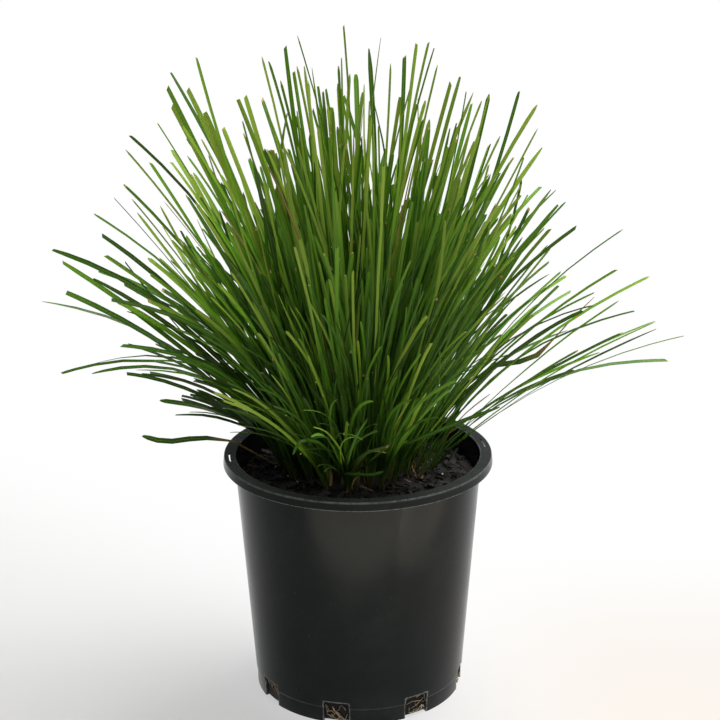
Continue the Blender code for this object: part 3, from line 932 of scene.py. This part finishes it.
def makeShoots(material):
    draw = random.Random(bladeShape["seed"])
    form = bladeForm()
    shoots = {}
    for node in sorted(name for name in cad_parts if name.startswith("shoot_")):
        leaves = [finishLeaf(leaf, draw) for leaf in readLeaves(node)]
        shoots[node] = {"leaves": leaves, "blades": [], "trees": []}
    for line in ownLines.values():
        if "node" in line:
            end = Vector(line["points"][-1]) / 1000
            leaves = shoots[line["node"]]["leaves"]
            dress(min(leaves, key=lambda leaf: (leaf["tip"] - end).length), line, draw)
    print(sum(len(shoot["leaves"]) for shoot in shoots.values()), "leaves read")
    growRead(form, shoots, draw)
    addOwnLines(form, shoots, draw)
    addOuter(form, shoots, draw)
    addScales(form, shoots, draw)
    addBetween(form, shoots, draw)
    for node, shoot in shoots.items():
        whole = bmesh.new()
        for blade in shoot["blades"]:
            join(whole, blade)
        pieceFrom(whole, node + "_leaves", material, [node])
    print(len(shoots), "shoots")


potShape = {
    "height": 0.1848,
    "wall": 0.0013,
    "groundRadius": 0.0782,
    "taper": 0.0736,
    "ledgeInner": 0.0905,
    "ledgeLean": 0.0001,
    "ledgeOuter": 0.0992,
    "ledge": 0.0015,
    "skirtRadius": 0.1000,
    "skirtDepth": 0.0065,
    "foot": 0.0782,
    "step": 0.0124,
    "inset": 0.0007,
    "floor": 0.0016,
    "band": 0.0210,  # the notches end below this height
    "ringInner": 0.0600,
    "rise": 0.0030,
    "riseRun": 0.0040,
    "lip": 0.00035,  # how far the edges are rounded
    "lipShare": 0.4,  # at most, of the faces beside an edge
    "lipTurn": 0.15,  # flatter edges stay, in radians
    "guard": 0.0012,  # a ring this far from an edge keeps the long faces' shading true
    "steps": 144,
    "notches": 8,
    "firstNotch": -12.5,
    "notchWidth": 0.0190,
    "notchTop": 0.0170,
    "notchRadius": 0.079,
    "notchBevel": 0.0022,
    "notchDeep": 0.018,  # of the cutter, and how far it starts below the ground
    "notchBelow": 0.004,
    "slots": (-83.0, 99.0),
    "slotRadius": 0.0953,
    "slotWidth": 0.0010,
    "slotLength": 0.0170,
    "slotRound": 0.45,  # of its width
    "slotCuts": 7,
    "slotHigh": 0.006,  # of the cutter, whose middle is this far under the top
    "slotUnder": 0.001,
    "sharp": 38,  # degrees
}


def wallRadius(height):
    return potShape["groundRadius"] + potShape["taper"] * height


def notchAzimuth(i):
    return potShape["firstNotch"] + i * 360.0 / potShape["notches"]


def turnedSolid(profile, steps):
    bm = bmesh.new()
    points = [bm.verts.new((radius, 0.0, height)) for radius, height in profile]
    line = [bm.edges.new(pair) for pair in zip(points, points[1:])]
    bmesh.ops.spin(bm, geom=points + line, axis=up, cent=(0, 0, 0), angle=math.tau, steps=steps,
                   use_merge=True)
    bmesh.ops.remove_doubles(bm, verts=bm.verts[:], dist=0.00001)
    bmesh.ops.recalc_face_normals(bm, faces=bm.faces[:])
    return smoothed(bm)


def roundedProfile(profile):
    # Each corner of the outline becomes a short chamfer with a middle point.
    s = potShape
    rounded = [profile[0]]
    for before, spot, after in zip(profile, profile[1:], profile[2:]):
        a, b, c = (Vector(p) for p in (before, spot, after))
        back, onward = a - b, c - b
        reach = min(s["lip"], back.length * s["lipShare"], onward.length * s["lipShare"])
        if math.pi - back.angle(onward) < s["lipTurn"]:
            rounded.append(spot)
            continue
        first = b + back.normalized() * reach
        last = b + onward.normalized() * reach
        rounded += [tuple(first), tuple((first + last) / 4 + b / 2), tuple(last)]
    return rounded + [profile[-1]]


def potProfile():
    # The section, from the floor's middle up the inside, over the rim and down to the ground.
    s = potShape
    top, wall, guard, step = s["height"], s["wall"], s["guard"], s["step"]
    skirtBottom = top - s["skirtDepth"]
    under = top - s["ledge"]
    floorTop = s["rise"] + s["floor"]
    lip = s["ledgeInner"] + wall / 2
    hem = (s["skirtRadius"] - s["ledgeOuter"]) / s["skirtDepth"]

    def inside(height):
        return wallRadius(height) - s["inset"] - wall, height

    def outside(height):
        return wallRadius(height), height

    return [
        (0.0, floorTop),
        (s["ringInner"] - s["riseRun"] - wall, floorTop),
        (s["ringInner"] - wall, s["floor"]),
        (s["foot"] - wall, s["floor"]),
        inside(step),
        inside(s["band"]),
        inside(s["band"] * 2),
        (s["ledgeInner"] - s["ledgeLean"], top - wall / 2 - guard),
        (s["ledgeInner"], top - wall / 2),
        (lip, top),
        (lip + guard, top),
        (s["ledgeOuter"] - guard, top),
        (s["ledgeOuter"], top),
        (s["ledgeOuter"] + hem * guard, top - guard),
        (s["skirtRadius"] - hem * guard, skirtBottom + guard),
        (s["skirtRadius"], skirtBottom),
        (s["skirtRadius"] - wall, skirtBottom),
        (s["ledgeOuter"] - wall, under),
        outside(under),
        outside(under - guard),
        outside(s["band"] * 2),
        outside(s["band"]),
        outside(step + guard),
        outside(step),
        (wallRadius(step) - s["inset"], step - s["inset"]),
        (wallRadius(step - guard) - s["inset"], step - s["inset"] - guard),
        (s["foot"], 0.0),
        (s["ringInner"], 0.0),
        (s["ringInner"] - s["riseRun"], s["rise"]),
        (0.0, s["rise"]),
    ]


def notchCutter(i):
    # The notch has an arched top and cuts the bottom corner of the wall and the floor.
    s = potShape
    bm = block((s["notchWidth"], s["notchDeep"], s["notchTop"] + s["notchBelow"]))
    edges = [edge for edge in bm.edges if all(vert.co.z > 0 for vert in edge.verts)
             and edge.verts[0].co.x * edge.verts[1].co.x > 0]
    bevelled(bm, edges, s["notchBevel"], 3)
    azimuth = notchAzimuth(i)
    spot = around(azimuth, s["notchRadius"], (s["notchTop"] - s["notchBelow"]) / 2)
    bm.transform(Matrix.Translation(spot) @ Matrix.Rotation(math.radians(azimuth), 4, "Z"))
    return bm


def slotCutter(azimuth):
    # A thin slot along the ledge, with round ends.
    s = potShape
    bm = block((s["slotLength"], s["slotWidth"], s["slotHigh"]))
    corners = [e for e in bm.edges if abs(e.verts[0].co.z - e.verts[1].co.z) > s["slotHigh"] / 2]
    bevelled(bm, corners, s["slotWidth"] * s["slotRound"], 4)
    flat = [e for e in bm.edges if abs(e.verts[0].co.x - e.verts[1].co.x) > s["slotLength"] / 2]
    bmesh.ops.subdivide_edges(bm, edges=flat, cuts=s["slotCuts"])
    for vert in bm.verts:
        turn = math.degrees(vert.co.x / s["slotRadius"])
        spot = around(azimuth + turn, s["slotRadius"] - vert.co.y, 0)
        vert.co = (spot.x, spot.y, s["height"] - s["slotUnder"] + vert.co.z)
    return bm


def makePot(material):
    s = potShape
    bm = turnedSolid(roundedProfile(potProfile()), s["steps"])
    pot = pieceFrom(bm, "nursery_pot", material, ["pot"])
    forms = [notchCutter(i) for i in range(s["notches"])]
    forms += [slotCutter(azimuth) for azimuth in s["slots"]]
    cutters = []
    for form in forms:
        bmesh.ops.recalc_face_normals(form, faces=form.faces[:])
        cutters.append(objectFrom(form, "cutter"))
        boolean = pot.modifiers.new("cut", "BOOLEAN")
        boolean.operation = "DIFFERENCE"
        boolean.solver = "EXACT"
        boolean.object = cutters[-1]
    graph = bpy.context.evaluated_depsgraph_get()
    whole = bpy.data.meshes.new_from_object(pot.evaluated_get(graph))
    pot.modifiers.clear()
    pot.data = whole
    for one in cutters:
        bpy.data.objects.remove(one)
    whole.set_sharp_from_angle(angle=math.radians(s["sharp"]))
    print("pot", len(whole.polygons), "faces")


# Spans and noises are as in leafLook, and each edge with a painted highlight has its reach and its
# strength.
potLook = {
    "plastic": (0.0076, 0.0098, 0.0101),
    # the colour of dust, also used for the painted light on the ledge
    "dustAndLedgeLight": (0.13, 0.135, 0.12),
    "patchNoise": (38.0, 5.0, 0.6),
    "patches": (0.35, 0.65),
    "ledgeDustAndLight": (-0.0022, -0.0006, 0.0, 0.075),  # from the top; dust and painted light on the ledge
    "footDust": (0.0, 0.035, 0.05, 0.0),
    "haze": (0.40, 0.75, 0.0, 0.020),
    "specks": (0.70, 0.76, 0.0, 0.10),
    "speckNoise": (620.0, 2.0),
    "scuffs": (0.66, 0.78, 0.0, 0.035),
    "scuffNoise": (420.0, 4.0, 0.7),
    "scuffStretch": (1.0, 1.0, 0.06),
    "paintedHighlight": (0.25, 0.26, 0.25),
    "lip": (0.0007, 0.30),
    "lipOut": 0.0004,  # past the ledge's inner edge
    "edge": (0.0007, 0.22),
    "high": (-0.0014, -0.0010),  # from the top
    "hem": (0.0006, 0.60),
    "outside": (-0.0010, -0.0006),  # from the skirt's outside
    "step": (0.0006, 0.22),
    "stepUnder": 0.0003,
    "notchSide": (0.0010, 0.55),
    "notchTop": (0.0010, 0.60),
    "notchOut": 0.0002,  # past the notch's own sides and top
    "low": (0.0002, 0.0010, 1.0, 0.0),  # from the notch's top
    "within": (-0.0002, 0.0006, 1.0, 0.0),  # from its side
    "paintedHighlightBreaks": (0.38, 0.58, 0.35, 1.0),
    "paintedHighlightNoise": (260.0, 4.0, 0.7),
    "roughness": (0.3, 0.7, 0.18, 0.23),
    "dustRough": 0.9,
    "specular": 0.11,
    "grainNoise": (1500.0, 2.0),
    "waveNoise": (30.0, 1.0),
    "waves": 6.0,  # how much higher the waves of the wall are than its grain
    "grain": (0.000012, 0.4),
}


def potMaterial():
    n = Nodes("black nursery plastic")
    s, look = potShape, potLook
    top = s["height"]
    x, y, z = n.split(n.place)
    # Dust and painted light make the ledge top lighter; dust lies near the foot, in soft patches.
    patches = n.noise(*look["patchNoise"])
    fromTop = n.less(z, top)
    ledge = n.span(fromTop, *look["ledgeDustAndLight"])
    footDust = n.times(n.span(z, *look["footDust"]), n.span(patches, *look["patches"]))
    haze = n.span(patches, *look["haze"])
    specks = n.span(n.noise(*look["speckNoise"]), *look["specks"])
    # Fine upright scuffs.
    lines = n.noise(*look["scuffNoise"], n.stretched(look["scuffStretch"]))
    scuffs = n.span(lines, *look["scuffs"])
    dustAndLedgeLight = n.add(n.add(ledge, footDust), n.add(haze, n.add(specks, scuffs)))
    colour = n.mix(dustAndLedgeLight, look["plastic"], look["dustAndLedgeLight"])
    # The edges get painted highlights, pale lines broken up by noise: the lip, the ledge's edge, the
    # skirt's edge, the step and the notches.
    radius = n.math("SQRT", n.add(n.times(x, x), n.times(y, y)))

    def near(value, target, edge):
        reach, strength = look[edge]
        away = n.math("ABSOLUTE", n.less(value, target))
        return n.span(away, reach * 0.3, reach, strength, 0.0)

    high = n.span(fromTop, *look["high"])
    lip = n.times(near(radius, s["ledgeInner"] + look["lipOut"], "lip"), high)
    edge = n.times(near(radius, s["ledgeOuter"], "edge"), high)
    outside = n.span(n.less(radius, s["skirtRadius"]), *look["outside"])
    hem = n.times(near(z, top - s["skirtDepth"], "hem"), outside)
    step = near(z, s["step"] - look["stepUnder"], "step")
    turn = n.math("ARCTAN2", x, n.times(y, -1.0))
    half = math.pi / s["notches"]
    local = n.math("WRAP", n.less(turn, math.radians(s["firstNotch"])), half, -half)
    aside = n.math("ABSOLUTE", n.times(local, radius))
    notchTop, notchSide = s["notchTop"], s["notchWidth"] / 2
    low = n.span(n.less(z, notchTop), *look["low"])
    sides = n.times(near(aside, notchSide + look["notchOut"], "notchSide"), low)
    within = n.span(n.less(aside, notchSide), *look["within"])
    tops = n.times(near(z, notchTop + look["notchOut"], "notchTop"), within)
    paintedHighlightBreaks = n.span(n.noise(*look["paintedHighlightNoise"]), *look["paintedHighlightBreaks"])
    paintedHighlight = lip
    for one in (edge, hem, step, sides, tops):
        paintedHighlight = n.math("MAXIMUM", paintedHighlight, one)
    colour = n.mix(n.times(paintedHighlight, paintedHighlightBreaks), colour, look["paintedHighlight"])
    rough = n.add(n.span(patches, *look["roughness"]), n.times(dustAndLedgeLight, look["dustRough"]))
    waves = n.times(n.noise(*look["waveNoise"]), look["waves"])
    grain = n.add(n.noise(*look["grainNoise"]), waves)
    return n.surface(colour, rough, look["specular"], n.bump(grain, *look["grain"]))


mixShape = {
    "level": 0.1655,
    "crown": 0.1680,
    "crownEdge": (0.0600, 0.0665),
    "gap": 0.0003,
    "sunk": 0.0012,  # the bed lies this far under the solid, and the chips fill it up
    "relief": 0.0011,
    "lumps": ((0.3, 160, 1.0), (1.7, 420, 0.5)),  # layer, fineness and share
    "tone": 0.25,
    "rings": 14,
    "steps": 96,
    "margin": 0.0008,  # the chips keep this far from the wall
    "seed": 5,
}


def bedHeight(x, y):
    s = mixShape
    lumps = sum(share * noise.noise(Vector((x, y, layer)) * scale)
                for layer, scale, share in s["lumps"])
    rise = (s["crown"] - s["level"]) * (1 - smooth(*s["crownEdge"], math.hypot(x, y)))
    return s["level"] + rise - s["sunk"] + s["relief"] * lumps


def makeBed(material):
    s, p = mixShape, potShape
    wall, gap, level = p["wall"], s["gap"], s["level"]
    rimRadius = wallRadius(level) - wall - gap
    riseTop = p["rise"] + p["floor"] + gap
    profile = [(rimRadius * i / s["rings"], level) for i in range(s["rings"] + 1)]
    profile += [
        (wallRadius(p["step"]) - p["inset"] - wall - gap, p["step"]),
        (p["foot"] - wall - gap, p["floor"] + gap),
        (p["ringInner"] - wall + gap, p["floor"] + gap),
        (p["ringInner"] - p["riseRun"] - wall, riseTop),
        (0.0, riseTop),
    ]
    bm = turnedSolid(profile, s["steps"])
    for vert in bm.verts:
        if vert.co.z > level / 2:
            vert.co.z = bedHeight(vert.co.x, vert.co.y)
    pieceFrom(toned(bm, s["tone"]), "potting_mix_bed", material, ["potting_mix"])
    print("bed of potting mix")


chipShape = {
    "count": 1500,
    "batch": 100,
    "area": (0.12, 1.0),
    "lengths": (0.0025, 0.004, 0.0055, 0.007, 0.009),
    "width": (0.35, 0.75),  # beside the length
    "thickness": (0.18, 0.45),
    "lift": (-0.2, 0.9),  # beside the thickness
    "jitter": (0.22, 0.22, 0.2),
    "bevel": 0.14,
    "tilt": (0.35, 0.3),  # spread in radians, to the side and lengthwise
    "tone": (0.3, 0.2),
    "splinters": (40, 7),  # one in so many, from this one on
    "splinterSize": (1.3, 0.3, 0.5),
    "splinterTone": (0.75, 1.05),
}
grainShape = {
    "count": 34,
    "area": (0.3, 0.97),
    "radius": (0.0005, 0.0014),
    "jitter": (0.7, 1.2),
    "lift": 0.0016,
}


def mixRadius():
    return wallRadius(mixShape["level"]) - potShape["wall"] - mixShape["margin"]


def drawSpot(area, draw):
    # A radius and a turn, spread evenly over this part of the mix.
    return mixRadius() * math.sqrt(draw.uniform(*area)), draw.uniform(0, math.tau)


def chipForm(size, place, turn, tone, draw):
    # A broken bit: a block with cut edges and jittered corners.
    bm = block((1, 1, 1))
    for vert in bm.verts:
        vert.co += Vector([draw.uniform(-most, most) for most in chipShape["jitter"]])
    bevelled(bm, bm.edges[:], chipShape["bevel"], 1)
    bm.transform(Matrix.LocRotScale(place, turn, Vector(size)))
    return toned(bm, tone)


def makeChips(material, draw):
    s = chipShape
    chips = toned(bmesh.new(), 0.0)
    for start in range(0, s["count"], s["batch"]):
        batch = toned(bmesh.new(), 0.0)
        for i in range(start, start + s["batch"]):
            radius, turn = drawSpot(s["area"], draw)
            length = draw.choice(s["lengths"])
            size = [length, length * draw.uniform(*s["width"]), length * draw.uniform(*s["thickness"])]
            radius = min(radius, mixRadius() - length / 2)
            x, y = radius * math.cos(turn), radius * math.sin(turn)
            place = Vector((x, y, bedHeight(x, y) + draw.uniform(*s["lift"]) * size[2]))
            tilt = Matrix.Rotation(draw.uniform(0, math.tau), 3, "Z")
            for spread, axis in zip(s["tilt"], "XY"):
                tilt = tilt @ Matrix.Rotation(draw.gauss(0, spread), 3, axis)
            tone = clamp(draw.gauss(*s["tone"]))
            if i % s["splinters"][0] == s["splinters"][1]:
                # Now and then a pale splinter.
                size = [side * share for side, share in zip(size, s["splinterSize"])]
                tone = draw.uniform(*s["splinterTone"])
            join(batch, chipForm(size, place, tilt.to_quaternion(), tone, draw))
        join(chips, batch)
    pieceFrom(chips, "bark_chips", material)
    print(s["count"], "bark chips")


def makeGrains(material, draw):
    s = grainShape
    grains = bmesh.new()
    for _ in range(s["count"]):
        radius, turn = drawSpot(s["area"], draw)
        x, y = radius * math.cos(turn), radius * math.sin(turn)
        bm = bmesh.new()
        bmesh.ops.create_icosphere(bm, subdivisions=1, radius=draw.uniform(*s["radius"]))
        for vert in bm.verts:
            vert.co *= draw.uniform(*s["jitter"])
        bmesh.ops.translate(bm, vec=(x, y, bedHeight(x, y) + s["lift"]), verts=bm.verts)
        join(grains, smoothed(bm))
    pieceFrom(grains, "perlite_grains", material)
    print(s["count"], "perlite grains")


rootShape = {
    "perNotch": 7,
    "sides": 5,
    "rings": 10,
    "points": 5,
    "margin": 1.0,  # degrees, to the notch's sides
    "radius": (0.0773, 0.0777),
    "about": 0.078,  # the radius at which the notch's width is turned into degrees
    "lowest": 0.003,
    "under": 0.001,  # how far the highest place is under the notch's top
    "step": 4.5,  # degrees, from one point to the next
    "climb": 0.0045,
    "thickness": (0.00022, 0.00045),
    "tone": (0.2, 1.0),
    "seed": 9,
}


def rootForm(form, middle, draw):
    s = rootShape
    wide = math.degrees(potShape["notchWidth"] / 2 / s["about"]) - s["margin"]
    highest = potShape["notchTop"] - s["under"]
    turn = middle + draw.uniform(-wide, wide)
    height = draw.uniform(s["lowest"], highest)
    points = []
    for _ in range(s["points"]):
        points.append(around(turn, draw.uniform(*s["radius"]), height))
        turn = clamp(turn + draw.uniform(-s["step"], s["step"]), middle - wide, middle + wide)
        height = clamp(height + draw.uniform(-s["climb"], s["climb"]), s["lowest"], highest)
    bm = form.copy()
    thick = draw.uniform(*s["thickness"])
    for vert in bm.verts:
        place, way = curveThrough(points, vert.co.z)
        side = way.cross(up).normalized()
        thin = thick * (1.0 - 0.5 * vert.co.z)
        vert.co = place + (side * vert.co.x + side.cross(way) * vert.co.y) * thin
    return toned(outwards(bm), draw.uniform(*s["tone"]))


def makeRoots(material):
    # Thin roots show in the drainage notches, against the mix.
    s = rootShape
    draw = random.Random(s["seed"])
    last = s["rings"] - 1
    form = unitForm(s["sides"], tuple(i / last for i in range(s["rings"])))
    roots = toned(bmesh.new(), 0.0)
    for i in range(potShape["notches"]):
        for _ in range(s["perNotch"]):
            join(roots, rootForm(form, notchAzimuth(i), draw))
    pieceFrom(roots, "root_threads", material)
    print(potShape["notches"] * s["perNotch"], "roots in the notches")


# The shades go from dark to light, each with its place between the two.
mixLook = {
    "bark": ((0.0, (0.0013, 0.0012, 0.0011)), (0.45, (0.0043, 0.0037, 0.0032)),
             (0.8, (0.020, 0.015, 0.011)), (1.0, (0.15, 0.105, 0.065))),
    "barkTone": (0.8, 0.35),  # how much a chip's own tone counts, and the grain
    "barkNoise": (700.0, 5.0, 0.65),
    "barkBump": (0.0006, 0.8),
    "perlite": ((0.3, (0.42, 0.40, 0.36)), (0.7, (0.78, 0.77, 0.73))),
    "perliteNoise": (900.0, 3.0),
    "perliteRelief": (2500.0, 3.0),
    "perliteBump": (0.0002, 0.7),
    "root": ((0.0, (0.05, 0.032, 0.018)), (0.6, (0.30, 0.22, 0.13)), (1.0, (0.60, 0.52, 0.38))),
    "roughness": {"bark": 0.72, "perlite": 0.9, "root": 0.7},
    "specular": {"bark": 0.3},
}


def barkMaterial():
    n = Nodes("bark mix")
    look = mixLook
    grain = n.noise(*look["barkNoise"])
    ownShare, grainShare = look["barkTone"]
    level = n.add(n.times(n.attribute("tone"), ownShare), n.times(grain, grainShare))
    return n.surface(n.ramp(level, look["bark"]), look["roughness"]["bark"],
                     look["specular"]["bark"], n.bump(grain, *look["barkBump"]))


def perliteMaterial():
    n = Nodes("perlite")
    look = mixLook
    colour = n.ramp(n.noise(*look["perliteNoise"]), look["perlite"])
    relief = n.bump(n.noise(*look["perliteRelief"]), *look["perliteBump"])
    return n.surface(colour, look["roughness"]["perlite"], normal=relief)


def rootMaterial():
    n = Nodes("roots")
    return n.surface(n.ramp(n.attribute("tone"), mixLook["root"]), mixLook["roughness"]["root"])


stageLook = {
    "floor": (0.375, 0.375, 0.375),
    "paintedWarmFloor": (0.46, 0.41, 0.37),
    "paintedWarmSpan": (0.0, 0.25),
    "size": 12.0,
    "roughness": 0.75,
    "specular": 0.2,
    "white": (1.0, 1.0, 1.0),
    "paintedWarmGlow": (0.965, 0.915, 0.865),
    "glowBack": (-0.02, 0.24, 1.0, 0.0),
    "glowRight": (0.02, 0.22),
    "fade": (-0.42, 0.25),
    "fadeRight": 0.75,  # how much the right counts beside the back
    "world": (0.93, 0.975, 1.0, 1.0),
    "worldLight": 0.25,
    # Place, target, size, watts and colour.
    "lights": {
        "top": ((0.40, 0.25, 1.7), (0, 0, 0.25), (1.2, 1.2), 66.0, (1.0, 0.985, 0.95)),
        "front": ((0.55, -1.15, 1.9), (0, 0, 0.35), (1.0, 0.8), 24.0, (1.0, 0.985, 0.95)),
        "right": ((1.2, 1.15, 0.55), (0, 0, 0.2), (0.6, 1.0), 1.5, (1.0, 0.97, 0.94)),
        "left": ((-1.2, 1.15, 0.55), (0, 0, 0.2), (0.6, 1.0), 1.0, (0.92, 0.97, 1.0)),
    },
    # Low soft boxes before the pot, mirrored in its wall: place, turn in degrees and size.
    "mirrored": {
        "low front": ((0.08, -0.375, 0.004), 0, (0.70, 0.23)),
        "low right": ((0.338, -0.172, 0.004), 37, (0.38, 0.13)),
    },
    "mirroredPower": 2.5,
    "mirroredColour": (1.0, 0.90, 0.74),
}


def makeStage():
    n = Nodes("pale floor")
    look = stageLook
    x, y, _ = n.split(n.place)
    # Painted warm light: the floor is warmer towards the right.
    floorColour = n.mix(n.span(x, *look["paintedWarmSpan"]), look["floor"], look["paintedWarmFloor"])
    n.surface(floorColour, look["roughness"], look["specular"])
    # The floor glows with painted light, going over into white towards the back and the right, warmer
    # near the front right.
    reach = n.add(y, n.times(x, look["fadeRight"]))
    near = n.times(n.span(y, *look["glowBack"]), n.span(x, *look["glowRight"]))
    glow = n.mix(near, look["white"], look["paintedWarmGlow"])
    material = n.withSecond(n.span(reach, *look["fade"]), "ShaderNodeEmission", glow)
    bm = bmesh.new()
    bmesh.ops.create_grid(bm, x_segments=1, y_segments=1, size=look["size"])
    floor = objectFrom(bm, "pale_floor")
    floor.data.materials.append(material)
    world = bpy.data.worlds.new("pale room")
    world.use_nodes = True
    background = world.node_tree.nodes["Background"]
    background.inputs["Color"].default_value = look["world"]
    background.inputs["Strength"].default_value = look["worldLight"]
    scene.world = world
    scene.view_settings.view_transform = "Standard"
    print("stage")


def addLight(name, place, target, size, power, colour):
    data = bpy.data.lights.new(name, "AREA")
    data.shape = "RECTANGLE"
    data.size, data.size_y = size
    data.energy = power
    data.color = colour
    light = bpy.data.objects.new(name, data)
    light.location = place
    light.rotation_euler = (Vector(target) - Vector(place)).to_track_quat("-Z", "Y").to_euler()
    scene.collection.objects.link(light)
    return light


def makeLights():
    for name, values in stageLook["lights"].items():
        addLight(name, *values)
    for name, (place, turn, size) in stageLook["mirrored"].items():
        power = math.pi * size[0] * size[1] * stageLook["mirroredPower"]
        light = addLight(name, place, up, size, power, stageLook["mirroredColour"])
        light.rotation_euler = (math.pi, 0.0, math.radians(turn))
        light.visible_camera = False
    print("lights")


cameraPlace = {
    "place": (0.0020, -1.2480, 0.6712),
    "down": 0.3213,  # radians
    "roll": -0.0060,
    "lens": 90.0,
    "film": 36.0,
}


def makeCamera():
    s = cameraPlace
    data = bpy.data.cameras.new("camera")
    data.lens = s["lens"]
    data.sensor_width = s["film"]
    camera = bpy.data.objects.new("camera", data)
    camera.location = s["place"]
    turn = Matrix.Rotation(math.pi / 2 - s["down"], 3, "X") @ Matrix.Rotation(s["roll"], 3, "Z")
    camera.rotation_euler = turn.to_euler()
    scene.collection.objects.link(camera)
    scene.camera = camera
    print("camera")


makeCamera()
makeLights()
makeStage()
makePot(potMaterial())
bark = barkMaterial()
makeBed(bark)
mixDraw = random.Random(mixShape["seed"])
makeChips(bark, mixDraw)
makeGrains(perliteMaterial(), mixDraw)
makeRoots(rootMaterial())
makeShoots(leafMaterial())
